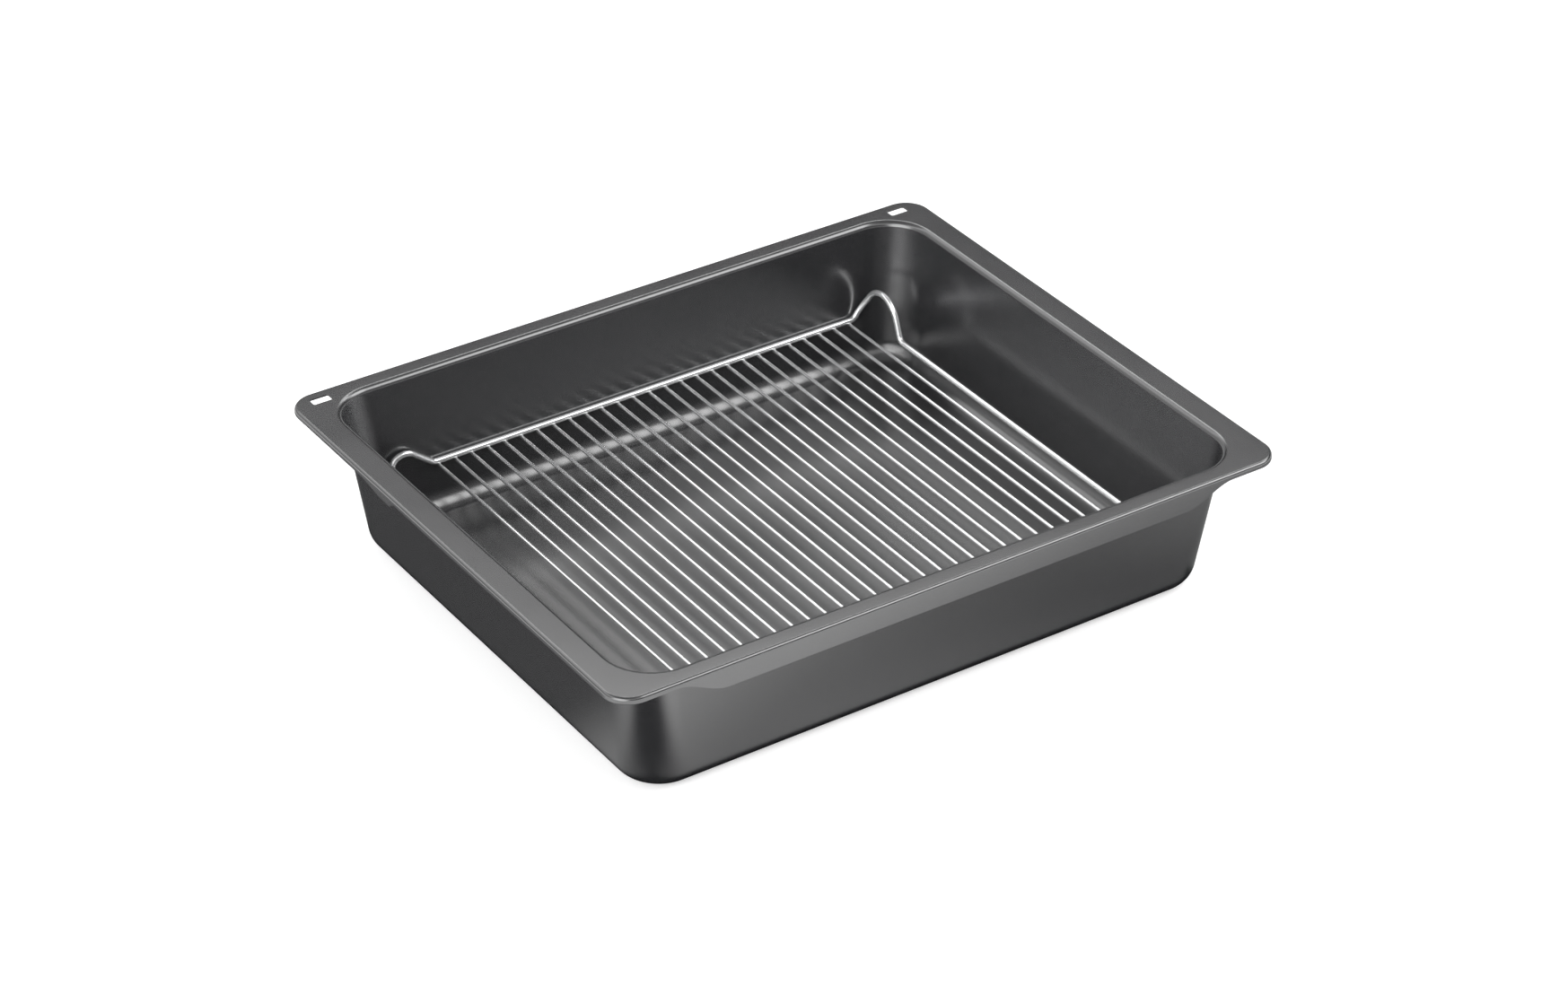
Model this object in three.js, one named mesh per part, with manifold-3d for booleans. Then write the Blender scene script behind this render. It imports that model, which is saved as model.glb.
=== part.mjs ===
// A deep enamelled roasting pan with a loose chromed wire rack.
// Millimetres, +Z up, +X along the wide side, the apron faces -Y.
// The origin is the middle of the pan's underside.

import * as THREE from 'three';
import { mergeVertices } from 'three/addons/utils/BufferGeometryUtils.js';
import Module from 'manifold-3d';

const wasm = await Module();
wasm.setup();

// Pan: overall sizes and the drawn well.
const RIM_WIDTH = 455;
const RIM_DEPTH = 375;
const PAN_HEIGHT = 92;
const SHEET = 1;
const SIDE_LEDGE = 19.7;
const FRONT_LEDGE = 14.2;
const MOUTH_CORNER = 28;
const WALL_DRAFT = THREE.MathUtils.degToRad(6.6);
const FLOOR_FILLET = 14;
const LEDGE_ROLL = 4;

// Pan: the folded edge of the rim.
const RIM_CORNER = 16.5;
const EDGE_FOLD = 2;
const HEM_DROP = 4;
const APRON_DROP = 15;
const APRON_LENGTH = 314;
const APRON_EASE = 33;
const LUG_DROP = 7.3;
const LUG_LENGTH = 8;
const LUG_RAMP = 26;
const LUG_STEP = 5;
const LUG_FROM_MIDDLE = 66;

// Pan: the two slots in the back corners of the rim.
const SLOT_LENGTH = 12.7;
const SLOT_WIDTH = 6.5;
const SLOT_ROUND = 1.2;
const SLOT_FROM_SIDE = 19.1;
const SLOT_FROM_BACK = 10.3;

// Rack: the frame wire, its place between the walls, and its bows.
const FRAME_WIRE = 3.8;
const RACK_SIDE_GAP = 32.8;
const FRAME_CORNER = 8;
const SEAT_DEPTH = 60;
const SEAT_CLEARANCE = 0.3;
const HIGH_BOW = { near: 24.6, far: 28, height: 24.3, foot: 6, crown: 16 };
const HIGH_BOW_LEAD = 4.3;
const LOW_BOW = { near: 22, far: 18, height: 12.3, foot: 6, crown: 11 };
const LOW_BOW_REACH = 35;

// Rack: the rods under the rails.
const ROD_WIRE = 2.3;
const ROD_PITCH = 11.6;
const ROD_OVERHANG = 1;
const WELD_GAP = 0.1;

// How finely curves are divided.
const CORNER_STEPS = 8;
const BEND_STEPS = 4;
const EASE_STEPS = 6;
const WIRE_SIDES = 12;
const LEAST_STEP = 0.1;

const enamel = new THREE.MeshStandardMaterial({
  color: 0x55565a,
  roughness: 0.35,
  metalness: 0,
});
const chrome = new THREE.MeshStandardMaterial({
  color: 0xd9dbde,
  roughness: 0.12,
  metalness: 1,
});

// The mouth of the well, where its walls would meet the rim's top, and the rack's width inside it.
const mouthWidth = RIM_WIDTH - 2 * SIDE_LEDGE;
const mouthDepth = RIM_DEPTH - 2 * FRONT_LEDGE;
const frameWidth = mouthWidth - 2 * RACK_SIDE_GAP;
const tanDraft = Math.tan(WALL_DRAFT);
const cosDraft = Math.cos(WALL_DRAFT);

// Even steps from one value to another, both ends included.
function steps(from, to, count) {
  return Array.from({ length: count + 1 }, (_, i) => from + ((to - from) * i) / count);
}

// A rise from 0 to 1 with level ends.
function ease(t) {
  const c = THREE.MathUtils.clamp(t, 0, 1);
  return c * c * (3 - 2 * c);
}

// How far the rim's lower edge hangs below the rim's top, at a place on the rim's outline.
function edgeDrop(x, y) {
  const onFront = y < -(RIM_DEPTH / 2 - RIM_CORNER);
  if (onFront) {
    const past = (Math.abs(x) - APRON_LENGTH / 2) / APRON_EASE;
    return THREE.MathUtils.lerp(APRON_DROP, HEM_DROP, ease(past));
  }
  const onSide = Math.abs(x) > RIM_WIDTH / 2 - EDGE_FOLD;
  const fromLug = y - LUG_FROM_MIDDLE;
  const run = fromLug > 0 ? LUG_RAMP : LUG_STEP;
  const away = (Math.abs(fromLug) - LUG_LENGTH / 2) / run;
  return onSide ? THREE.MathUtils.lerp(LUG_DROP, HEM_DROP, ease(away)) : HEM_DROP;
}

// Places along the front and side edges where the lower edge changes, from 0 in the middle
// of an edge to 1 at the start of its corner.
const frontRun = RIM_WIDTH / 2 - RIM_CORNER;
const sideRun = RIM_DEPTH / 2 - RIM_CORNER;
const apronEnd = APRON_LENGTH / 2;
const easePlaces = steps(apronEnd, apronEnd + APRON_EASE, EASE_STEPS);
const frontPlaces = [...easePlaces.map((x) => -x).reverse(), ...easePlaces].map((x) => x / frontRun);
const lugNear = LUG_FROM_MIDDLE - LUG_LENGTH / 2;
const lugFar = LUG_FROM_MIDDLE + LUG_LENGTH / 2;
const sidePlaces = [
  ...steps(lugNear - LUG_STEP, lugNear, EASE_STEPS),
  ...steps(lugFar, lugFar + LUG_RAMP, EASE_STEPS),
].map((y) => y / sideRun);

// One level outline of the pan: a rounded rectangle, counter-clockwise from the front edge.
function outline(halfX, halfY, corner, level) {
  const runX = halfX - corner;
  const runY = halfY - corner;
  const points = [];
  const turn = (cx, cy, from) => {
    for (const a of steps(from, from + Math.PI / 2, CORNER_STEPS)) {
      points.push(new THREE.Vector3(cx + corner * Math.cos(a), cy + corner * Math.sin(a), level));
    }
  };
  frontPlaces.forEach((t) => points.push(new THREE.Vector3(t * runX, -halfY, level)));
  turn(runX, -runY, -Math.PI / 2);
  sidePlaces.forEach((t) => points.push(new THREE.Vector3(halfX, t * runY, level)));
  turn(runX, runY, 0);
  turn(-runX, runY, Math.PI / 2);
  [...sidePlaces].reverse().forEach((t) => points.push(new THREE.Vector3(-halfX, t * runY, level)));
  turn(-runX, -runY, Math.PI);
  return points;
}

// An outline of the well, from how far it lies inside the mouth and below the rim's top.
function wellOutline({ inset, depth, corner }) {
  return outline(mouthWidth / 2 - inset, mouthDepth / 2 - inset, corner, PAN_HEIGHT - depth);
}

// An outline of the rim, from how far it lies inside the rim's edge and below its top.
function rimOutline({ inset, depth }) {
  return outline(RIM_WIDTH / 2 - inset, RIM_DEPTH / 2 - inset, RIM_CORNER - inset, PAN_HEIGHT - depth);
}

// The fillet between floor and wall, from the floor up. The offset is 0 inside and SHEET outside.
function floorFillet(offset) {
  const radius = FLOOR_FILLET + offset;
  const centreDepth = PAN_HEIGHT - SHEET - FLOOR_FILLET;
  const centreInset = centreDepth * tanDraft + FLOOR_FILLET / cosDraft;
  return steps(Math.PI / 2, WALL_DRAFT, BEND_STEPS + 1).map((a) => ({
    inset: centreInset - radius * Math.cos(a),
    depth: centreDepth + radius * Math.sin(a),
    corner: MOUTH_CORNER + offset - radius * (cosDraft - Math.cos(a)),
  }));
}

// The roll from the wall over to the ledge, from the wall up.
function ledgeRoll(offset) {
  const radius = LEDGE_ROLL - offset;
  const centreInset = LEDGE_ROLL * tanDraft - LEDGE_ROLL / cosDraft;
  return steps(WALL_DRAFT, Math.PI / 2, BEND_STEPS).map((a) => ({
    inset: centreInset + radius * Math.cos(a),
    depth: LEDGE_ROLL - radius * Math.sin(a),
    corner: MOUTH_CORNER + offset + radius * (cosDraft - Math.cos(a)),
  }));
}

// The fold from the ledge down to the hem, from the ledge out.
function edgeFold(offset) {
  const radius = EDGE_FOLD - offset;
  return steps(0, Math.PI / 2, BEND_STEPS - 1).map((a) => ({
    inset: EDGE_FOLD - radius * Math.sin(a),
    depth: EDGE_FOLD - radius * Math.cos(a),
  }));
}

// The lower edge of the hem and the apron, at a given offset into the sheet.
function lowerEdge(offset) {
  const drops = rimOutline({ inset: 0, depth: 0 }).map((p) => edgeDrop(p.x, p.y));
  const points = rimOutline({ inset: offset, depth: 0 });
  points.forEach((p, i) => {
    p.z -= drops[i];
  });
  return points;
}

// A closed skin over a row of outlines, with a flat cap on the first and the last.
function skin(rings) {
  const around = rings[0].length;
  const points = rings.flat();
  const index = [];
  for (let r = 0; r < rings.length - 1; r += 1) {
    for (let i = 0; i < around; i += 1) {
      const a = r * around + i;
      const d = r * around + ((i + 1) % around);
      index.push(a, a + around, d + around, a, d + around, d);
    }
  }
  const firstMiddle = points.length;
  const lastMiddle = firstMiddle + 1;
  const lastStart = (rings.length - 1) * around;
  points.push(new THREE.Vector3(0, 0, rings[0][0].z));
  points.push(new THREE.Vector3(0, 0, rings[rings.length - 1][0].z));
  for (let i = 0; i < around; i += 1) {
    const next = (i + 1) % around;
    index.push(firstMiddle, i, next);
    index.push(lastMiddle, lastStart + next, lastStart + i);
  }
  return new THREE.BufferGeometry().setFromPoints(points).setIndex(index);
}

// Solids for cutting, and their skins again.
function toSolid(geometry) {
  const bare = geometry.clone();
  bare.deleteAttribute('normal');
  bare.deleteAttribute('uv');
  const merged = mergeVertices(bare);
  return new wasm.Manifold(new wasm.Mesh({
    numProp: 3,
    vertProperties: new Float32Array(merged.attributes.position.array),
    triVerts: new Uint32Array(merged.index.array),
  }));
}

function toGeometry(solid) {
  const { vertProperties, triVerts } = solid.getMesh();
  const geometry = new THREE.BufferGeometry();
  geometry.setAttribute('position', new THREE.BufferAttribute(vertProperties, 3));
  geometry.setIndex(new THREE.BufferAttribute(triVerts, 1));
  geometry.computeVertexNormals();
  return geometry;
}

// The cutter for one slot: a prism with rounded corners that passes both faces of the ledge.
function slotCutter(side) {
  const past = SHEET;
  const halfX = SLOT_LENGTH / 2;
  const halfY = SLOT_WIDTH / 2;
  const runX = halfX - SLOT_ROUND;
  const runY = halfY - SLOT_ROUND;
  const shape = new THREE.Shape();
  shape.absarc(runX, -runY, SLOT_ROUND, -Math.PI / 2, 0);
  shape.absarc(runX, runY, SLOT_ROUND, 0, Math.PI / 2);
  shape.absarc(-runX, runY, SLOT_ROUND, Math.PI / 2, Math.PI);
  shape.absarc(-runX, -runY, SLOT_ROUND, Math.PI, 1.5 * Math.PI);
  const prism = new THREE.ExtrudeGeometry(shape, {
    depth: past + SHEET + past,
    bevelEnabled: false,
    curveSegments: BEND_STEPS,
  });
  const x = side * (RIM_WIDTH / 2 - SLOT_FROM_SIDE);
  return prism.translate(x, RIM_DEPTH / 2 - SLOT_FROM_BACK, PAN_HEIGHT - SHEET - past);
}

function panGeometry() {
  const rings = [
    ...floorFillet(0).map(wellOutline),
    ...ledgeRoll(0).map(wellOutline),
    ...edgeFold(0).map(rimOutline),
    lowerEdge(0),
    lowerEdge(SHEET),
    ...edgeFold(SHEET).reverse().map(rimOutline),
    ...ledgeRoll(SHEET).reverse().map(wellOutline),
    ...floorFillet(SHEET).reverse().map(wellOutline),
  ];
  let solid = toSolid(skin(rings));
  for (const side of [-1, 1]) {
    solid = solid.subtract(toSolid(slotCutter(side)));
  }
  return toGeometry(solid);
}

// The rails lie on the front and back walls, a clearance away from the enamel.
const railLevel = PAN_HEIGHT - SEAT_DEPTH;
const sideRail = frameWidth / 2;
const wallAtSeat = mouthDepth / 2 - SEAT_DEPTH * tanDraft;
const backRail = wallAtSeat - (FRAME_WIRE / 2 + SEAT_CLEARANCE) / cosDraft;

// The frame's plan is followed from the middle of the right rail, by way of the back.
const sideStraight = backRail - FRAME_CORNER;
const backStraight = frameWidth - 2 * FRAME_CORNER;
const cornerTurn = (Math.PI / 2) * FRAME_CORNER;
const halfLoop = 2 * sideStraight + 2 * cornerTurn + backStraight;

// A place on the back half of the frame's plan, at a run along the wire.
function planPoint(run) {
  const backStart = sideStraight + cornerTurn;
  const leftStart = backStart + backStraight;
  const bend = (side, angle) => new THREE.Vector2(
    side * (sideRail - FRAME_CORNER + FRAME_CORNER * Math.cos(angle)),
    backRail - FRAME_CORNER + FRAME_CORNER * Math.sin(angle),
  );
  if (run <= sideStraight) return new THREE.Vector2(sideRail, run);
  if (run <= backStart) return bend(1, (run - sideStraight) / FRAME_CORNER);
  if (run <= leftStart) return new THREE.Vector2(sideRail - FRAME_CORNER - (run - backStart), backRail);
  if (run <= leftStart + cornerTurn) return bend(-1, (leftStart + cornerTurn - run) / FRAME_CORNER);
  return new THREE.Vector2(-sideRail, halfLoop - run);
}

// Half a bow, from its foot to the middle of its crown: a foot bend, a straight leg and
// half of the round crown.
function halfBow(reach, { height, foot, crown }) {
  const bends = foot + crown;
  const drop = bends - height;
  const lean = Math.atan2(reach, drop) - Math.acos(Math.min(1, bends / Math.hypot(reach, drop)));
  const footBend = steps(0, lean, BEND_STEPS).map((a) => ({
    run: foot * Math.sin(a),
    rise: foot * (1 - Math.cos(a)),
  }));
  const crownBend = steps(lean, 0, BEND_STEPS).map((a) => ({
    run: reach - crown * Math.sin(a),
    rise: height - crown * (1 - Math.cos(a)),
  }));
  return [...footBend, ...crownBend];
}

// A whole bow along the wire. Near and far are the runs from its feet to the middle of its crown.
function bowPoints(bow, start) {
  const up = halfBow(bow.near, bow);
  const down = halfBow(bow.far, bow).reverse();
  const end = start + bow.near + bow.far;
  return [
    ...up.map(({ run, rise }) => ({ run: start + run, rise })),
    ...down.slice(1).map(({ run, rise }) => ({ run: end - run, rise })),
  ];
}

// The height of a wire above the rails where a corner falls on a bow's leg or crown.
function riseAt(run, points) {
  const after = points.findIndex((p) => p.run >= run);
  if (after <= 0) return 0;
  const a = points[after - 1];
  const b = points[after];
  return THREE.MathUtils.mapLinear(run, a.run, b.run, a.rise, b.rise);
}

// The wire's middle line: a high bow round each right-hand corner, and a low bow at the left
// end of the back and the front rail.
function frameLine() {
  const highStart = sideStraight + cornerTurn + HIGH_BOW_LEAD - HIGH_BOW.near - HIGH_BOW.far;
  const lowStart = sideStraight + cornerTurn + frameWidth - FRAME_CORNER - LOW_BOW_REACH;
  const bows = [...bowPoints(HIGH_BOW, highStart), ...bowPoints(LOW_BOW, lowStart)];
  const leftTurn = sideStraight + cornerTurn + backStraight;
  const corners = [
    ...steps(sideStraight, sideStraight + cornerTurn, CORNER_STEPS),
    ...steps(leftTurn, leftTurn + cornerTurn, CORNER_STEPS),
  ].map((run) => ({ run, rise: riseAt(run, bows) }));
  const stations = [...bows, ...corners].sort((a, b) => a.run - b.run);
  const apart = stations.filter((s, i) => i === 0 || s.run - stations[i - 1].run > LEAST_STEP);
  const back = apart.map(({ run, rise }) => {
    const plan = planPoint(run);
    return new THREE.Vector3(plan.x, plan.y, railLevel + rise);
  });
  const front = back.map((p) => new THREE.Vector3(p.x, -p.y, p.z)).reverse();
  return [...back, ...front];
}

// A round wire along a closed line.
function closedWire(line, diameter) {
  const up = new THREE.Vector3(0, 0, 1);
  const points = [];
  const index = [];
  const count = line.length;
  line.forEach((p, i) => {
    const before = line[(i + count - 1) % count];
    const after = line[(i + 1) % count];
    const along = after.clone().sub(p).normalize().add(p.clone().sub(before).normalize()).normalize();
    const across = along.clone().cross(up).normalize();
    const lift = across.clone().cross(along);
    for (let s = 0; s < WIRE_SIDES; s += 1) {
      const a = (2 * Math.PI * s) / WIRE_SIDES;
      const reach = across.clone().multiplyScalar(Math.cos(a)).addScaledVector(lift, Math.sin(a));
      points.push(p.clone().addScaledVector(reach, diameter / 2));
      const here = i * WIRE_SIDES + s;
      const beside = i * WIRE_SIDES + ((s + 1) % WIRE_SIDES);
      const ahead = ((i + 1) % count) * WIRE_SIDES;
      const hereAhead = ahead + s;
      const besideAhead = ahead + ((s + 1) % WIRE_SIDES);
      index.push(here, besideAhead, beside, here, hereAhead, besideAhead);
    }
  });
  return new THREE.BufferGeometry().setFromPoints(points).setIndex(index);
}

function rodGeometry() {
  const length = 2 * (backRail + ROD_OVERHANG);
  return new THREE.CylinderGeometry(ROD_WIRE / 2, ROD_WIRE / 2, length, WIRE_SIDES);
}

function mesh(name, geometry, material) {
  const part = new THREE.Mesh(geometry, material);
  part.name = name;
  return part;
}

const rack = new THREE.Group();
rack.add(mesh('rack_frame', closedWire(frameLine(), FRAME_WIRE), chrome));

// The rods fill the straight of the back rail, from the right rail to the low bow's foot.
const rodRoom = frameWidth - LOW_BOW_REACH - ROD_WIRE / 2;
const rodCount = Math.floor(rodRoom / ROD_PITCH);
const rodLevel = railLevel - FRAME_WIRE / 2 - WELD_GAP - ROD_WIRE / 2;
for (let i = 1; i <= rodCount; i += 1) {
  const rod = mesh(`rack_rod_${String(i).padStart(2, '0')}`, rodGeometry(), chrome);
  rod.position.set(sideRail - (rodCount + 1 - i) * ROD_PITCH, 0, rodLevel);
  rack.add(rod);
}

const tray = new THREE.Group();
tray.add(mesh('pan', panGeometry(), enamel));
tray.add(rack);

export default tray;
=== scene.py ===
# %% [markdown]
# # A deep enamelled roasting pan with a chromed wire rack
#
# The pan is one sheet of steel, pressed into a deep well and enamelled dark grey. The rack is
# loose: a thick wire bent to a closed frame, with thin rods welded under it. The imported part
# already holds every piece at its true size, so this lesson only dresses it: finer meshes in
# the same places, finishes made of nodes, and a small studio to see them in.

import math

import bmesh
import bpy
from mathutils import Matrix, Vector


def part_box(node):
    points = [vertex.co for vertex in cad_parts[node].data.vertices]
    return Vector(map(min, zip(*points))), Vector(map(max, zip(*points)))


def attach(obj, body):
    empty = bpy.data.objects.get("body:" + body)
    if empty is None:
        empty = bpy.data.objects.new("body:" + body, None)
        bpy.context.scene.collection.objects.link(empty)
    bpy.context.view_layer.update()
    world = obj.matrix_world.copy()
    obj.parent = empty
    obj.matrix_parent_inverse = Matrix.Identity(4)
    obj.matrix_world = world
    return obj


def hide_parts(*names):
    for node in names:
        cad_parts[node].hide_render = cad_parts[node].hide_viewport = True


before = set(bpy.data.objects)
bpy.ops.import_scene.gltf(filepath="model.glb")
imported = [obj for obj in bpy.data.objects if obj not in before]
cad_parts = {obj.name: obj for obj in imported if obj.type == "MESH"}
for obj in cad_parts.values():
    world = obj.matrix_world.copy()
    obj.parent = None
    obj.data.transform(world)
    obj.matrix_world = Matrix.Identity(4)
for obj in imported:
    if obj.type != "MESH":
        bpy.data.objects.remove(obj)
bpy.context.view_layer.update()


def new_object(name, data):
    made = bpy.data.objects.new(name, data)
    bpy.context.scene.collection.objects.link(made)
    return made


# %% [markdown]
# ## The camera
#
# A product picture of a long pan is taken from far away with a long lens, so that its edges
# stay nearly parallel. The camera looks down on the front left corner. Its turn is given by
# two angles, and `to_track_quat` turns the lens, which is the camera's -Z, along the view.

# %% Put up the camera
VIEW_AZIMUTH = math.radians(-33.677)
VIEW_ELEVATION = math.radians(32.549)
EYE = Vector((-1.2109, -1.8224, 1.4428))
LENS = 100.59
SENSOR_WIDTH = 36


def heading(azimuth, elevation):
    return Vector((
        math.sin(azimuth) * math.cos(elevation),
        -math.cos(azimuth) * math.cos(elevation),
        math.sin(elevation),
    ))


towards_eye = heading(VIEW_AZIMUTH, VIEW_ELEVATION)
camera_data = bpy.data.cameras.new("product_camera")
camera_data.lens = LENS
camera_data.sensor_width = SENSOR_WIDTH
camera_data.sensor_fit = "HORIZONTAL"
camera = new_object("product_camera", camera_data)
camera.location = EYE
camera.rotation_euler = (-towards_eye).to_track_quat("-Z", "Y").to_euler()
bpy.context.scene.camera = camera
print("camera is", round(EYE.length, 2), "m from the part")

# %% [markdown]
# ## Enamel
#
# Enamel is a skin of glass, melted onto steel. It is nearly black here, so most of what the
# eye sees is the studio mirrored in the glass. Its heavy oxides make it mirror more than window
# glass does, so its index of refraction is set higher. Three things keep it from looking like
# plastic: a fine orange peel left by the melting, a soft mottling of the glass, and patches that
# are a little glossier than others. All three are noise at different sizes. The noise reads the
# object's own coordinates, so it stays on the pan in every view.

# %% Helpers for a finish
# nearly all values of a noise lie between these two
NOISE_LOW, NOISE_HIGH = 0.3, 0.7


def finish_nodes(name):
    material = bpy.data.materials.new(name)
    material.use_nodes = True
    nodes = material.node_tree.nodes
    shader = nodes["Principled BSDF"]
    return material, nodes, material.node_tree.links, shader


def noise(nodes, links, place, size_mm, detail=2.0):
    texture = nodes.new("ShaderNodeTexNoise")
    texture.inputs["Scale"].default_value = 1000 / size_mm
    texture.inputs["Detail"].default_value = detail
    links.new(place, texture.inputs["Vector"])
    return texture.outputs["Fac"]


def between(nodes, links, value, low, high):
    span = nodes.new("ShaderNodeMapRange")
    span.inputs["From Min"].default_value = NOISE_LOW
    span.inputs["From Max"].default_value = NOISE_HIGH
    span.inputs["To Min"].default_value = low
    span.inputs["To Max"].default_value = high
    links.new(value, span.inputs["Value"])
    return span.outputs["Result"]


def blend_colours(nodes, links, value, first, second):
    ramp = nodes.new("ShaderNodeValToRGB")
    ramp.color_ramp.elements[0].position = NOISE_LOW
    ramp.color_ramp.elements[0].color = (*first, 1)
    ramp.color_ramp.elements[1].position = NOISE_HIGH
    ramp.color_ramp.elements[1].color = (*second, 1)
    links.new(value, ramp.inputs["Fac"])
    return ramp.outputs["Color"]


def ripple(nodes, links, value, height_mm, strength):
    bump = nodes.new("ShaderNodeBump")
    bump.inputs["Strength"].default_value = strength
    bump.inputs["Distance"].default_value = height_mm / 1000
    links.new(value, bump.inputs["Height"])
    return bump.outputs["Normal"]


# %% Make the enamel
ENAMEL_TONES = (0.0205, 0.021, 0.0225), (0.0235, 0.024, 0.0255)
ENAMEL_ROUGHNESS = 0.21, 0.24
ENAMEL_IOR = 2.2
MOTTLING_MM, CLOUD_MM, PEEL_MM = 6, 60, 5
PEEL_HEIGHT_MM, PEEL_STRENGTH = 0.002, 0.1

enamel, nodes, links, shader = finish_nodes("grey_enamel")
place = nodes.new("ShaderNodeTexCoord").outputs["Object"]
mottling = noise(nodes, links, place, MOTTLING_MM, detail=1.0)
cloud = noise(nodes, links, place, CLOUD_MM)
peel = noise(nodes, links, place, PEEL_MM)
tone = blend_colours(nodes, links, mottling, *ENAMEL_TONES)
links.new(tone, shader.inputs["Base Color"])
links.new(between(nodes, links, cloud, *ENAMEL_ROUGHNESS), shader.inputs["Roughness"])
orange_peel = ripple(nodes, links, peel, PEEL_HEIGHT_MM, PEEL_STRENGTH)
links.new(orange_peel, shader.inputs["Normal"])
shader.inputs["IOR"].default_value = ENAMEL_IOR
print("enamel nodes", len(nodes))

# %% [markdown]
# ## The pressed pan
#
# The pan starts as flat sheet. A press draws the well, rolls its mouth over into a level ledge
# and folds the ledge's edge down: a short hem on three sides, a deep apron in front. Every
# level cut through it is a rounded rectangle, so the mesh is a stack of such outlines joined
# by quads, first down the face that is seen and then back along the other face of the sheet.
# Sculpting or a box with bevels would never hold the sheet's even thickness.

# %% Sizes of the pan, in millimetres as on a drawing
MM = 0.001
pan_low, pan_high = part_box("pan")
PAN_HEIGHT = (pan_high.z - pan_low.z) / MM
RIM_X = (pan_high.x - pan_low.x) / MM / 2
RIM_Y = (pan_high.y - pan_low.y) / MM / 2
SHEET = 1.0
SIDE_LEDGE, FRONT_LEDGE = 19.7, 14.2
MOUTH_X = RIM_X - SIDE_LEDGE
MOUTH_Y = RIM_Y - FRONT_LEDGE
MOUTH_CORNER = 28.0
RIM_CORNER = 16.5
DRAFT = math.radians(6.6)
FLOOR_FILLET = 14.0
LEDGE_ROLL = 4.0
EDGE_FOLD = 2.0
HEM_DROP = 4.0
print("rim half sizes", round(RIM_X, 2), round(RIM_Y, 2), "height", round(PAN_HEIGHT, 2))

# %% [markdown]
# ## The lower edge
#
# The folded edge isn't level. In front it drops to a wide apron to grip, which runs out in
# a soft slope near the corners. Under each side it dips to a small lug, steep in front and
# long behind, that stops the pan on an oven's runner. One function gives the drop at
# any place on the rim, and the outlines get extra points where it changes.

# %% How far the edge hangs down
APRON_DROP, APRON_HALF, APRON_EASE = 15.0, 157.0, 33.0
LUG_DROP, LUG_HALF, LUG_RAMP, LUG_STEP, LUG_PLACE = 7.3, 4.0, 26.0, 5.0, 66.0


def steps(first, last, count):
    return [first + (last - first) * i / count for i in range(count + 1)]


def slope(value):
    t = min(max(value, 0.0), 1.0)
    return t * t * (3 - 2 * t)


def edge_drop(x, y):
    if y < -(RIM_Y - RIM_CORNER):
        return APRON_DROP + (HEM_DROP - APRON_DROP) * slope((abs(x) - APRON_HALF) / APRON_EASE)
    if abs(x) < RIM_X - EDGE_FOLD:
        return HEM_DROP
    from_lug = y - LUG_PLACE
    run = LUG_RAMP if from_lug > 0 else LUG_STEP
    return LUG_DROP + (HEM_DROP - LUG_DROP) * slope((abs(from_lug) - LUG_HALF) / run)


print("drop in front", edge_drop(0, -RIM_Y), "behind", edge_drop(0, RIM_Y))
print("drop at the lug", edge_drop(RIM_X, LUG_PLACE))

# %% One outline of the pan
CORNER_STEPS = 20
EASE_STEPS = 14

ease_places = steps(APRON_HALF, APRON_HALF + APRON_EASE, EASE_STEPS)
front_run = [-x for x in reversed(ease_places)] + [0.0] + ease_places
front_places = [x / (RIM_X - RIM_CORNER) for x in front_run]
lug_places = (
    steps(LUG_PLACE - LUG_HALF - LUG_STEP, LUG_PLACE - LUG_HALF, EASE_STEPS)
    + steps(LUG_PLACE + LUG_HALF, LUG_PLACE + LUG_HALF + LUG_RAMP, EASE_STEPS)
)
side_places = [y / (RIM_Y - RIM_CORNER) for y in lug_places]


def outline(half_x, half_y, corner, level):
    run_x, run_y = half_x - corner, half_y - corner

    def turn(x, y, start):
        return [
            Vector((x + corner * math.cos(a), y + corner * math.sin(a), level))
            for a in steps(start, start + math.pi / 2, CORNER_STEPS)
        ]

    points = [Vector((t * run_x, -half_y, level)) for t in front_places]
    points += turn(run_x, -run_y, -math.pi / 2)
    points += [Vector((half_x, t * run_y, level)) for t in side_places]
    points += turn(run_x, run_y, 0)
    points += turn(-run_x, run_y, math.pi / 2)
    points += [Vector((-half_x, t * run_y, level)) for t in reversed(side_places)]
    points += turn(-run_x, -run_y, math.pi)
    return points


print("points in an outline", len(outline(RIM_X, RIM_Y, RIM_CORNER, 0)))

# %% [markdown]
# ## The bends
#
# Three bends follow each other from the floor to the edge: the wide fillet at the foot of the
# wall, the tight roll onto the ledge and the fold at the rim. A bend in sheet has one centre
# for both faces, and only the radius changes by the sheet's thickness, so each function takes
# an offset: 0 for the face seen from above and the thickness for the other.

# %% Outlines along each bend
FILLET_STEPS = 12
ROLL_STEPS = 10
FOLD_STEPS = 8


def well_outline(inset, depth, corner):
    return outline(MOUTH_X - inset, MOUTH_Y - inset, corner, PAN_HEIGHT - depth)


def floor_fillet(offset):
    radius = FLOOR_FILLET + offset
    centre_depth = PAN_HEIGHT - SHEET - FLOOR_FILLET
    centre_inset = centre_depth * math.tan(DRAFT) + FLOOR_FILLET / math.cos(DRAFT)
    return [
        well_outline(
            centre_inset - radius * math.cos(a),
            centre_depth + radius * math.sin(a),
            MOUTH_CORNER + offset - radius * (math.cos(DRAFT) - math.cos(a)),
        )
        for a in steps(math.pi / 2, DRAFT, FILLET_STEPS)
    ]


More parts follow.
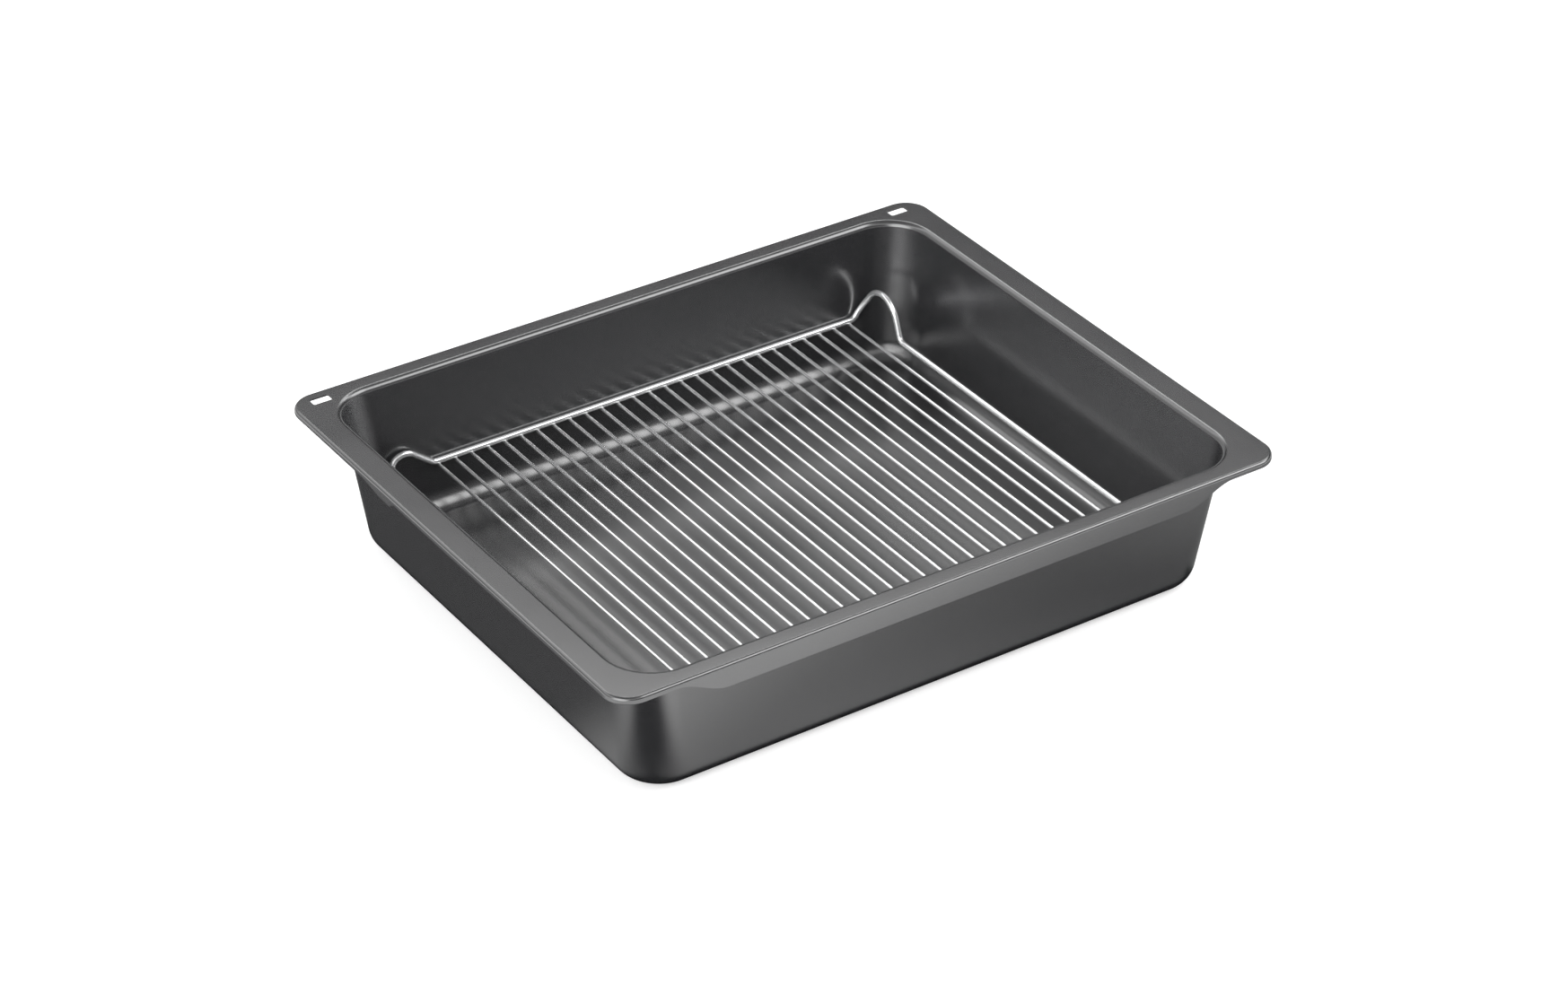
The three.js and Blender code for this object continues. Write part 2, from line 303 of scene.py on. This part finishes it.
def ledge_roll(offset):
    radius = LEDGE_ROLL - offset
    centre_inset = LEDGE_ROLL * math.tan(DRAFT) - LEDGE_ROLL / math.cos(DRAFT)
    return [
        well_outline(
            centre_inset + radius * math.cos(a),
            LEDGE_ROLL - radius * math.sin(a),
            MOUTH_CORNER + offset + radius * (math.cos(DRAFT) - math.cos(a)),
        )
        for a in steps(DRAFT, math.pi / 2, ROLL_STEPS)
    ]


def rim_outline(inset, depth):
    return outline(RIM_X - inset, RIM_Y - inset, RIM_CORNER - inset, PAN_HEIGHT - depth)


def edge_fold(offset):
    radius = EDGE_FOLD - offset
    return [
        rim_outline(EDGE_FOLD - radius * math.sin(a), EDGE_FOLD - radius * math.cos(a))
        for a in steps(0, math.pi / 2, FOLD_STEPS)
    ]


print("floor flat to", [round(v, 1) for v in floor_fillet(0)[0][len(front_places)]])

# %% [markdown]
# ## The raw edge
#
# The sheet is cut before it is enamelled, and the glass flows round the cut and leaves it
# round. A half circle of outlines from one face of the hem to the other gives that soft
# lower edge. A square edge would look like bare cut steel.

# %% Outlines round the raw edge
RAW_STEPS = 8


def raw_edge():
    drops = [edge_drop(p.x, p.y) for p in rim_outline(0, 0)]
    half = SHEET / 2
    rows = []
    for a in steps(0, math.pi, RAW_STEPS):
        row = rim_outline(half - half * math.cos(a), 0)
        for point, drop in zip(row, drops):
            point.z -= drop - half + half * math.sin(a)
        rows.append(row)
    return rows


print("outlines round the raw edge", len(raw_edge()))

# %% Join the outlines into a closed skin
def add_skin(mesh, rows):
    made = [[mesh.verts.new(p * MM) for p in row] for row in rows]
    around = len(rows[0])
    for lower, upper in zip(made, made[1:]):
        for i in range(around):
            j = (i + 1) % around
            mesh.faces.new((lower[i], lower[j], upper[j], upper[i]))
    mesh.faces.new(list(reversed(made[0])))
    mesh.faces.new(made[-1])


def piece(name, mesh):
    bmesh.ops.recalc_face_normals(mesh, faces=mesh.faces)
    data = bpy.data.meshes.new(name)
    mesh.to_mesh(data)
    mesh.free()
    return new_object(name, data)


pan_mesh = bmesh.new()
add_skin(pan_mesh, (
    floor_fillet(0) + ledge_roll(0) + edge_fold(0) + raw_edge()
    + edge_fold(SHEET)[::-1] + ledge_roll(SHEET)[::-1] + floor_fillet(SHEET)[::-1]
))
pan_shell = piece("pan_shell", pan_mesh)
print("pan skin", len(pan_shell.data.vertices), "points,", len(pan_shell.data.polygons), "faces")

# %% [markdown]
# ## The two slots
#
# A small slot is punched through the ledge in each back corner, to hang the pan from. A
# Boolean cuts them as the punch does. The cutter flares by a hair at both faces of the sheet,
# like a trumpet's mouth, because enamel runs round a punched edge and never ends sharply.

# %% Cut the slots
SLOT_X, SLOT_Y, SLOT_ROUND = 6.35, 3.25, 1.2
SLOT_FROM_SIDE, SLOT_FROM_BACK = 19.1, 10.3
SLOT_FLARE = 0.06
FLARE_SWEEP, FLARE_STEPS = math.radians(75), 5
SLOT_TURN = 8
CUTTER_NECK, CUTTER_REACH = SHEET / 4, SHEET


def slot_outline(centre, grow, level):
    corner = SLOT_ROUND + grow
    points = []
    for quarter, (sx, sy) in enumerate(((1, 1), (-1, 1), (-1, -1), (1, -1))):
        for a in steps(quarter * math.pi / 2, (quarter + 1) * math.pi / 2, SLOT_TURN):
            points.append(Vector((
                centre[0] + sx * (SLOT_X - SLOT_ROUND) + corner * math.cos(a),
                centre[1] + sy * (SLOT_Y - SLOT_ROUND) + corner * math.sin(a),
                level,
            )))
    return points


def slot_rows(centre):
    top, under = PAN_HEIGHT, PAN_HEIGHT - SHEET
    mouth = [
        (SLOT_FLARE * (1 - math.cos(a)), SLOT_FLARE * (1 - math.sin(a)))
        for a in steps(0, FLARE_SWEEP, FLARE_STEPS)
    ]
    wide = mouth[-1][0]
    rows = [(wide, under - CUTTER_REACH), (wide, under - CUTTER_NECK)]
    rows += [(grow, under + left) for grow, left in reversed(mouth)]
    rows += [(grow, top - left) for grow, left in mouth]
    rows += [(wide, top + CUTTER_NECK), (wide, top + CUTTER_REACH)]
    return [slot_outline(centre, grow, level) for grow, level in rows]


cutter_mesh = bmesh.new()
for side in (-1, 1):
    centre = (side * (RIM_X - SLOT_FROM_SIDE), RIM_Y - SLOT_FROM_BACK)
    add_skin(cutter_mesh, slot_rows(centre))
cutter = piece("slot_cutter", cutter_mesh)
cut = pan_shell.modifiers.new("slots", "BOOLEAN")
cut.operation = "DIFFERENCE"
cut.solver = "EXACT"
cut.object = cutter


def result_mesh(made):
    bpy.context.view_layer.update()
    evaluated = made.evaluated_get(bpy.context.evaluated_depsgraph_get())
    return bpy.data.meshes.new_from_object(evaluated)


punched = result_mesh(pan_shell)
pan_shell.modifiers.clear()
pan_shell.data = punched
punched.name = pan_shell.name
bpy.data.objects.remove(cutter)
print("pan with slots", len(pan_shell.data.vertices), "points")

# %% [markdown]
# ## Smooth bends and flat faces
#
# The outlines make small flat facets. Smooth shading rounds them, but it would also bend the
# light on the flat floor and ledge. A Weighted Normal modifier lets the large faces decide,
# so flats stay flat right up to the bend.

# %% Shade the pan and give it its enamel
# edges that turn by more than this many degrees stay sharp
PAN_SHARP, WIRE_SHARP = 40, 60


def shade(made, sharp_degrees, material, slot, body, *stands_for):
    made.data.shade_smooth()
    made.data.set_sharp_from_angle(angle=math.radians(sharp_degrees))
    made.data.materials.clear()
    made.data.materials.append(material)
    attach(made, body)
    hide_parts(*stands_for)


shade(pan_shell, PAN_SHARP, enamel, "enamel", "pan", "pan")
flats = pan_shell.modifiers.new("flats", "WEIGHTED_NORMAL")
flats.mode = "FACE_AREA"
flats.keep_sharp = True

# %% [markdown]
# ## Chrome
#
# The rack is drawn steel wire with a thin bright plating. Chrome is nearly all mirror, so its
# look comes from how true the mirror is: a slight waviness from drawing the wire, and a tint
# and a roughness that drift a little along it. Fine scratches scatter the rest of the light as
# a pale haze, so the shaded side of a wire isn't black. Plain grey would never flash like this.

# %% Make the chrome
CHROME_TONES = (0.86, 0.865, 0.87), (0.93, 0.935, 0.94)
CHROME_ROUGHNESS = 0.19, 0.23
CHROME_MIRROR = 0.8
DRIFT_MM, WAVE_MM = 18, 9
WAVE_HEIGHT_MM, WAVE_STRENGTH = 0.002, 0.04

chrome, nodes, links, shader = finish_nodes("chromed_wire")
place = nodes.new("ShaderNodeTexCoord").outputs["Object"]
drift = noise(nodes, links, place, DRIFT_MM)
wave = noise(nodes, links, place, WAVE_MM, detail=0.0)
tone = blend_colours(nodes, links, drift, *CHROME_TONES)
links.new(tone, shader.inputs["Base Color"])
links.new(between(nodes, links, drift, *CHROME_ROUGHNESS), shader.inputs["Roughness"])
waviness = ripple(nodes, links, wave, WAVE_HEIGHT_MM, WAVE_STRENGTH)
links.new(waviness, shader.inputs["Normal"])
shader.inputs["Metallic"].default_value = CHROME_MIRROR
print("chrome nodes", len(nodes))

# %% [markdown]
# ## The frame wire
#
# The frame is one thick wire, bent flat to a rectangle and then up into bows to lift it by:
# a high one round each right-hand corner and a low one near each left-hand corner. A bender
# only makes arcs and straights, so the wire's middle line is built of arcs and straights too,
# and a curve with a round bevel gives it thickness.

# %% Sizes of the rack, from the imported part
frame_low, frame_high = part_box("rack_frame")
WIRE = 3.8
RAIL_X = (frame_high.x - frame_low.x) / MM / 2 - WIRE / 2
RAIL_Y = (frame_high.y - frame_low.y) / MM / 2 - WIRE / 2
RAIL_Z = frame_low.z / MM + WIRE / 2
FRAME_CORNER = 8.0
SIDE_RUN = RAIL_Y - FRAME_CORNER
TURN_RUN = math.pi / 2 * FRAME_CORNER
BACK_RUN = 2 * (RAIL_X - FRAME_CORNER)
print("rails at", round(RAIL_X, 2), round(RAIL_Y, 2), "level", round(RAIL_Z, 2))

# %% The plan of the back half of the wire
def plan_point(run):
    back_start = SIDE_RUN + TURN_RUN
    left_start = back_start + BACK_RUN

    def bend(side, angle):
        return (
            side * (RAIL_X - FRAME_CORNER + FRAME_CORNER * math.cos(angle)),
            RAIL_Y - FRAME_CORNER + FRAME_CORNER * math.sin(angle),
        )

    if run <= SIDE_RUN:
        return RAIL_X, run
    if run <= back_start:
        return bend(1, (run - SIDE_RUN) / FRAME_CORNER)
    if run <= left_start:
        return RAIL_X - FRAME_CORNER - (run - back_start), RAIL_Y
    if run <= left_start + TURN_RUN:
        return bend(-1, (left_start + TURN_RUN - run) / FRAME_CORNER)
    return -RAIL_X, 2 * SIDE_RUN + 2 * TURN_RUN + BACK_RUN - run


back_middle = plan_point(SIDE_RUN + TURN_RUN + BACK_RUN / 2)
print("middle of the back rail", [round(v, 2) for v in back_middle])

# %% The bows
BEND_STEPS = 10


def half_bow(reach, height, foot, crown):
    bends = foot + crown
    drop = bends - height
    lean = math.atan2(reach, drop) - math.acos(bends / math.hypot(reach, drop))
    foot_bend = [
        (foot * math.sin(a), foot * (1 - math.cos(a)))
        for a in steps(0, lean, BEND_STEPS)
    ]
    crown_bend = [
        (reach - crown * math.sin(a), height - crown * (1 - math.cos(a)))
        for a in steps(lean, 0, BEND_STEPS)
    ]
    return foot_bend + crown_bend


def bow_points(start, near, far, *bends):
    end = start + near + far
    rise = [(start + run, up) for run, up in half_bow(near, *bends)]
    fall = [(end - run, up) for run, up in reversed(half_bow(far, *bends))]
    return rise + fall[1:]


def height_at(run, stations):
    for (run_a, up_a), (run_b, up_b) in zip(stations, stations[1:]):
        if run_a <= run <= run_b:
            return up_a + (up_b - up_a) * (run - run_a) / max(run_b - run_a, 1e-6)
    return 0.0


HIGH_NEAR, HIGH_FAR, HIGH_LEAD, HIGH_BENDS = 24.6, 28.0, 4.3, (24.3, 6.0, 16.0)
LOW_NEAR, LOW_FAR, LOW_REACH, LOW_BENDS = 22.0, 18.0, 35.0, (12.3, 6.0, 11.0)
high_start = SIDE_RUN + TURN_RUN + HIGH_LEAD - HIGH_NEAR - HIGH_FAR
low_start = SIDE_RUN + TURN_RUN + 2 * RAIL_X - FRAME_CORNER - LOW_REACH
high_bow = bow_points(high_start, HIGH_NEAR, HIGH_FAR, *HIGH_BENDS)
low_bow = bow_points(low_start, LOW_NEAR, LOW_FAR, *LOW_BENDS)
print("high bow", max(up for _, up in high_bow), "low bow", max(up for _, up in low_bow))

# %% Bend the frame wire
WIRE_ROUND = 8
TURN_STEPS = 16
LEAST_STEP = 0.1

bows = high_bow + low_bow
left_turn = SIDE_RUN + TURN_RUN + BACK_RUN
turns = (
    steps(SIDE_RUN, SIDE_RUN + TURN_RUN, TURN_STEPS)
    + steps(left_turn, left_turn + TURN_RUN, TURN_STEPS)
)
stations = sorted(bows + [(run, height_at(run, bows)) for run in turns])
spread = [stations[0]]
for station in stations[1:]:
    if station[0] - spread[-1][0] > LEAST_STEP:
        spread.append(station)
back_half = [(*plan_point(run), RAIL_Z + up) for run, up in spread]
front_half = [(x, -y, z) for x, y, z in reversed(back_half)]

wire_line = bpy.data.curves.new("rack_frame_wire", "CURVE")
wire_line.dimensions = "3D"
wire_line.twist_mode = "Z_UP"
wire_line.bevel_depth = WIRE / 2 * MM
wire_line.bevel_resolution = WIRE_ROUND
spline = wire_line.splines.new("POLY")
spline.points.add(len(back_half) + len(front_half) - 1)
for point, (x, y, z) in zip(spline.points, back_half + front_half):
    point.co = (x * MM, y * MM, z * MM, 1)
spline.use_cyclic_u = True
bent = new_object("bent_wire", wire_line)
wire_mesh = result_mesh(bent)
bpy.data.objects.remove(bent)
frame_wire = new_object("rack_frame_wire", wire_mesh)
shade(frame_wire, WIRE_SHARP, chrome, "chrome_wire", "rack", "rack_frame")
print("frame wire", len(wire_mesh.vertices), "points")

# %% [markdown]
# ## The rods
#
# Twenty-seven thin rods run from front to back under the rails. They are cut from straight
# wire and tumbled, so their ends are a little round. Each rod is a row of circles with
# smaller circles at the ends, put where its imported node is.

# %% Cut and place the rods
ROD_ROUND = 20
ROD_TUMBLE = 0.5
TUMBLE_STEPS = 4


def circle_across(x, y, z, radius):
    turn = 2 * math.pi / ROD_ROUND
    return [
        Vector((x + radius * math.cos(i * turn), y, z + radius * math.sin(i * turn)))
        for i in range(ROD_ROUND)
    ]


def rod_rows(low, high):
    x, z = (low.x + high.x) / 2 / MM, (low.z + high.z) / 2 / MM
    radius = (high.x - low.x) / 2 / MM
    end = [
        (ROD_TUMBLE * (1 - math.cos(a)), radius - ROD_TUMBLE * (1 - math.sin(a)))
        for a in steps(0, math.pi / 2, TUMBLE_STEPS)
    ]
    near = [circle_across(x, low.y / MM + along, z, wide) for along, wide in end]
    far = [circle_across(x, high.y / MM - along, z, wide) for along, wide in reversed(end)]
    return near + far


rod_nodes = sorted(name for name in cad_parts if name.startswith("rack_rod_"))
for name in rod_nodes:
    rod_mesh = bmesh.new()
    add_skin(rod_mesh, rod_rows(*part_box(name)))
    rod = piece(name + "_wire", rod_mesh)
    shade(rod, WIRE_SHARP, chrome, "chrome_wire", "rack", name)
print("rods", len(rod_nodes))

# %% [markdown]
# ## The welds
#
# Rods and rails are joined by resistance welding: pressed together, heated by a current, and
# a little metal is squeezed out of the joint into a small hollow collar. Each collar here
# starts on the rail's underside, narrows to a waist and spreads again on the rod.

# %% Put a collar in each joint
COLLAR_ROUND = 20
COLLAR_ROWS = (
    # share of the full width, way up from the rod to the rail
    (1.0, 0.0), (0.86, 0.12), (0.76, 0.3), (0.73, 0.5),
    (0.76, 0.7), (0.86, 0.88), (1.0, 1.0),
)
COLLAR_ON_RAIL = 1.35
COLLAR_ON_ROD = 1.05
SUNK = 0.12

rod_low, rod_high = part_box(rod_nodes[0])
ROD_RADIUS = (rod_high.x - rod_low.x) / MM / 2
ROD_Z = (rod_low.z + rod_high.z) / MM / 2


def collar_rows(x, y):
    rows = []
    for width, up in COLLAR_ROWS:
        row = []
        for i in range(COLLAR_ROUND):
            a = 2 * math.pi * i / COLLAR_ROUND
            dx = COLLAR_ON_ROD * width * math.cos(a)
            dy = COLLAR_ON_RAIL * width * math.sin(a)
            on_rod = ROD_Z + math.sqrt(max(ROD_RADIUS ** 2 - dx ** 2, 0)) - SUNK
            on_rail = RAIL_Z - math.sqrt(max((WIRE / 2) ** 2 - dy ** 2, 0)) + SUNK
            row.append(Vector((x + dx, y + dy, on_rod + (on_rail - on_rod) * up)))
        rows.append(row)
    return rows


weld_mesh = bmesh.new()
for name in rod_nodes:
    low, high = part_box(name)
    for side in (-1, 1):
        add_skin(weld_mesh, collar_rows((low.x + high.x) / MM / 2, side * RAIL_Y))
welds = piece("rack_welds", weld_mesh)
shade(welds, WIRE_SHARP, chrome, "chrome_wire", "rack")
print("welds", 2 * len(rod_nodes), "collars,", len(welds.data.polygons), "faces")

# %% [markdown]
# ## The floor
#
# The pan stands on a pale paper floor that fades into white. The paper takes light and shadow
# like any matt surface. For the camera, for mirrors and for glass it also glows a little, so
# the open paper is white while the shadow under the pan stays.

# %% Lay the floor
FLOOR_RADIUS, FLOOR_SIDES = 6.0, 96
PAPER_TONES = (0.80, 0.80, 0.80), (0.84, 0.84, 0.84)
PAPER_GLOW = 0.48
FIBRE_MM = 3.0

paper, nodes, links, shader = finish_nodes("pale_paper")
place = nodes.new("ShaderNodeTexCoord").outputs["Object"]
fibre = noise(nodes, links, place, FIBRE_MM)
tone = blend_colours(nodes, links, fibre, *PAPER_TONES)
links.new(tone, shader.inputs["Base Color"])
shader.inputs["Roughness"].default_value = 1.0
shader.inputs["Specular IOR Level"].default_value = 0.0


def seen_glow(nodes, links):
    path = nodes.new("ShaderNodeLightPath")
    seen = path.outputs["Is Camera Ray"]
    for ray in ("Is Glossy Ray", "Is Transmission Ray"):
        either = nodes.new("ShaderNodeMath")
        either.operation = "MAXIMUM"
        links.new(seen, either.inputs[0])
        links.new(path.outputs[ray], either.inputs[1])
        seen = either.outputs["Value"]
    glow = nodes.new("ShaderNodeMath")
    glow.operation = "MULTIPLY"
    glow.inputs[1].default_value = PAPER_GLOW
    links.new(seen, glow.inputs[0])
    return glow.outputs["Value"]


shader.inputs["Emission Color"].default_value = (1, 1, 1, 1)
links.new(seen_glow(nodes, links), shader.inputs["Emission Strength"])

floor_mesh = bmesh.new()
bmesh.ops.create_circle(
    floor_mesh, cap_ends=True, segments=FLOOR_SIDES, radius=FLOOR_RADIUS
)
floor = piece("paper_floor", floor_mesh)
floor.data.materials.append(paper)
print("floor radius", FLOOR_RADIUS)

# %% [markdown]
# ## The studio
#
# Dark enamel and chrome show the room more than their own colour, so the room is designed.
# In front, a soft light hangs above the camera. Behind on the left there is an even glow, and
# behind on the right a bright light over a dark wall, which gives the ledge its slow shading.
# Two umbrellas, left and right of the camera, draw the light along the bends and the corners.
# A world shader that depends only on where a direction points makes all of it without lamps.

# %% Paint the studio dome
# each half of the dome by elevation in degrees and light
FRONT_HALF = (
    (-90, 0.6), (-10, 1.0), (6, 1.0), (12, 0.2), (35, 0.2),
    (39, 1.1), (54, 1.1), (60, 0.3), (90, 0.3),
)
BACK_RIGHT = (
    (-90, 0.6), (-10, 1.0), (6, 0.9), (12, 0.15), (35.2, 0.0),
    (39.2, 4.6), (43.5, 4.6), (47, 0.8), (58, 0.3), (90, 0.3),
)
BACK_LEFT = (
    (-90, 0.6), (-10, 1.0), (6, 0.9), (12, 0.6), (24, 0.8),
    (36, 1.1), (40, 1.9), (48, 1.9), (54, 0.4), (90, 0.3),
)
BRIGHTEST = 5.0
# where one half passes into the other, along the direction's X or Y
LEFT_TO_RIGHT = (0.1, 0.3)
BACK_TO_FRONT = (0.15, -0.25)
# azimuth, elevation, radius of the even heart, radius of the edge, light
LEFT_UMBRELLA = (-62, 21, 20, 32, 4.2)
RIGHT_UMBRELLA = (58, 44, 14, 24, 4.0)

world = bpy.data.worlds.new("studio")
bpy.context.scene.world = world
world.use_nodes = True
nodes, links = world.node_tree.nodes, world.node_tree.links
nodes.clear()
direction = nodes.new("ShaderNodeTexCoord").outputs["Generated"]
apart = nodes.new("ShaderNodeSeparateXYZ")
links.new(direction, apart.inputs["Vector"])
height = nodes.new("ShaderNodeMapRange")
height.inputs["From Min"].default_value = -1
height.inputs["From Max"].default_value = 1
links.new(apart.outputs["Z"], height.inputs["Value"])


def half_dome(stops):
    ramp = nodes.new("ShaderNodeValToRGB")
    links.new(height.outputs["Result"], ramp.inputs["Fac"])
    elements = ramp.color_ramp.elements
    while len(elements) < len(stops):
        elements.new(0.5)
    for element, (angle, light) in zip(elements, stops):
        element.position = (math.sin(math.radians(angle)) + 1) / 2
        element.color = (light / BRIGHTEST,) * 3 + (1,)
    return ramp.outputs["Color"]


def mixed_along(axis, start, end, first, second):
    share = nodes.new("ShaderNodeMapRange")
    share.interpolation_type = "SMOOTHSTEP"
    share.inputs["From Min"].default_value = start
    share.inputs["From Max"].default_value = end
    links.new(apart.outputs[axis], share.inputs["Value"])
    mix = nodes.new("ShaderNodeMix")
    mix.data_type = "RGBA"
    links.new(share.outputs["Result"], mix.inputs["Factor"])
    links.new(first, mix.inputs["A"])
    links.new(second, mix.inputs["B"])
    return mix.outputs["Result"]


back_light = mixed_along("X", *LEFT_TO_RIGHT, half_dome(BACK_LEFT), half_dome(BACK_RIGHT))
room_light = mixed_along("Y", *BACK_TO_FRONT, back_light, half_dome(FRONT_HALF))
room = nodes.new("ShaderNodeBackground")
room.inputs["Strength"].default_value = BRIGHTEST
links.new(room_light, room.inputs["Color"])


def umbrella(azimuth, elevation, heart, edge, brightness):
    towards = nodes.new("ShaderNodeVectorMath")
    towards.operation = "DOT_PRODUCT"
    towards.inputs[1].default_value = heading(math.radians(azimuth), math.radians(elevation))
    links.new(direction, towards.inputs[0])
    spot = nodes.new("ShaderNodeMapRange")
    spot.interpolation_type = "SMOOTHSTEP"
    spot.inputs["From Min"].default_value = math.cos(math.radians(edge))
    spot.inputs["From Max"].default_value = math.cos(math.radians(heart))
    spot.inputs["To Max"].default_value = brightness
    links.new(towards.outputs["Value"], spot.inputs["Value"])
    light = nodes.new("ShaderNodeBackground")
    links.new(spot.outputs["Result"], light.inputs["Strength"])
    return light.outputs["Background"]


def add_light(first, second):
    both = nodes.new("ShaderNodeAddShader")
    links.new(first, both.inputs[0])
    links.new(second, both.inputs[1])
    return both.outputs["Shader"]


left_umbrella = umbrella(*LEFT_UMBRELLA)
right_umbrella = umbrella(*RIGHT_UMBRELLA)
out = nodes.new("ShaderNodeOutputWorld")
links.new(
    add_light(room.outputs["Background"], add_light(left_umbrella, right_umbrella)),
    out.inputs["Surface"],
)
bpy.context.scene.view_settings.view_transform = "Standard"
print("dome stops", len(FRONT_HALF), "in front,", len(BACK_LEFT) + len(BACK_RIGHT), "behind")

# %% [markdown]
# ## A glowing mat of painted reflections
#
# A white floor close to the pan would turn its walls pale. Photographers lay dark cards
# round dark glossy things for this, just out of the picture: the walls mirror the cards and
# keep their shape. One mat stands for the cards, and it is painted light: it glows, though it
# is no lamp, and its few soft dark patches are painted shade, the shadow round the pan's foot
# and dark places that the walls show as painted reflections. It shows in mirrors only, and
# its rim glows about as bright as the floor, so no edge of it is seen.

# %% Lay the mat
MAT_HALF = 0.7
MAT_LEVEL = 0.0004
# how bright the mat glows where no patch darkens it: a painted glow as bright as lit floor, no
# lamp
MAT_PAINTED_GLOW = 1.5
# patches of painted shade in the mat's glow: the shadow round the pan's foot and dark painted
# reflections
ROUND_PAINTED_SHADES = (
    # middle x, y, half length, half width, turn, where the fade starts, darkest painted shade
    (0.02, 0.10, 0.46, 0.40, 0, 0.75, 0.38),
    (-0.29, 0.15, 0.12, 0.40, 0, 0.3, 0.75),
    (0.36, -0.22, 0.50, 0.15, 0, 0.4, 0.38),
    (-0.237, -0.200, 0.095, 0.064, 40, 0.40, 0.0),
)
STRAIGHT_PAINTED_SHADES = (
    # middle x, y, half length, half width, where the fade starts, darkest painted shade
    (-0.236, 0.115, 0.052, 0.240, 0.72, 0.22),
    (0.0, 0.0, 0.207, 0.174, 0.94, 0.0),
)

painted_reflections, nodes, links, shader = finish_nodes("glow_with_painted_shade")
place = nodes.new("ShaderNodeTexCoord").outputs["Object"]


def times(first, second):
    product = nodes.new("ShaderNodeMath")
    product.operation = "MULTIPLY"
    for value, socket in zip((first, second), product.inputs):
        if isinstance(value, float):
            socket.default_value = value
        else:
            links.new(value, socket)
    return product.outputs["Value"]


def measured_from(x, y, half_length, half_width, turn):
    about = nodes.new("ShaderNodeMapping")
    about.vector_type = "TEXTURE"
    about.inputs["Location"].default_value = (x, y, 0)
    about.inputs["Rotation"].default_value = (0, 0, math.radians(turn))
    about.inputs["Scale"].default_value = (half_length, half_width, 1)
    links.new(place, about.inputs["Vector"])
    return about.outputs["Vector"]


def fading(value, start, darkest):
    fade = nodes.new("ShaderNodeMapRange")
    fade.interpolation_type = "SMOOTHSTEP"
    fade.inputs["From Min"].default_value = start
    fade.inputs["To Min"].default_value = darkest
    links.new(value, fade.inputs["Value"])
    return fade.outputs["Result"]


def round_painted_shade(x, y, half_length, half_width, turn, start, darkest):
    away = nodes.new("ShaderNodeVectorMath")
    away.operation = "LENGTH"
    links.new(measured_from(x, y, half_length, half_width, turn), away.inputs[0])
    return fading(away.outputs["Value"], start, darkest)


def straight_painted_shade(x, y, half_length, half_width, start, darkest):
    sizes = nodes.new("ShaderNodeVectorMath")
    sizes.operation = "ABSOLUTE"
    links.new(measured_from(x, y, half_length, half_width, 0), sizes.inputs[0])
    sides = nodes.new("ShaderNodeSeparateXYZ")
    links.new(sizes.outputs["Vector"], sides.inputs["Vector"])
    away = nodes.new("ShaderNodeMath")
    away.operation = "MAXIMUM"
    links.new(sides.outputs["X"], away.inputs[0])
    links.new(sides.outputs["Y"], away.inputs[1])
    return fading(away.outputs["Value"], start, darkest)


# the patches multiply into one painted shade over the mat's painted glow
tone = 1.0
for patch in ROUND_PAINTED_SHADES:
    tone = times(tone, round_painted_shade(*patch))
for patch in STRAIGHT_PAINTED_SHADES:
    tone = times(tone, straight_painted_shade(*patch))
links.new(times(tone, MAT_PAINTED_GLOW), shader.inputs["Emission Strength"])
shader.inputs["Emission Color"].default_value = (1, 1, 1, 1)
shader.inputs["Base Color"].default_value = (0, 0, 0, 1)
shader.inputs["Specular IOR Level"].default_value = 0.0

mat_mesh = bmesh.new()
bmesh.ops.create_grid(mat_mesh, x_segments=1, y_segments=1, size=MAT_HALF)
mat = piece("painted_reflection_mat", mat_mesh)
mat.location.z = MAT_LEVEL
mat.data.materials.append(painted_reflections)
# the painted reflections show in mirrors only
for ray in ("camera", "diffuse", "shadow", "transmission"):
    setattr(mat, "visible_" + ray, False)
print("mat patches", len(ROUND_PAINTED_SHADES) + len(STRAIGHT_PAINTED_SHADES))
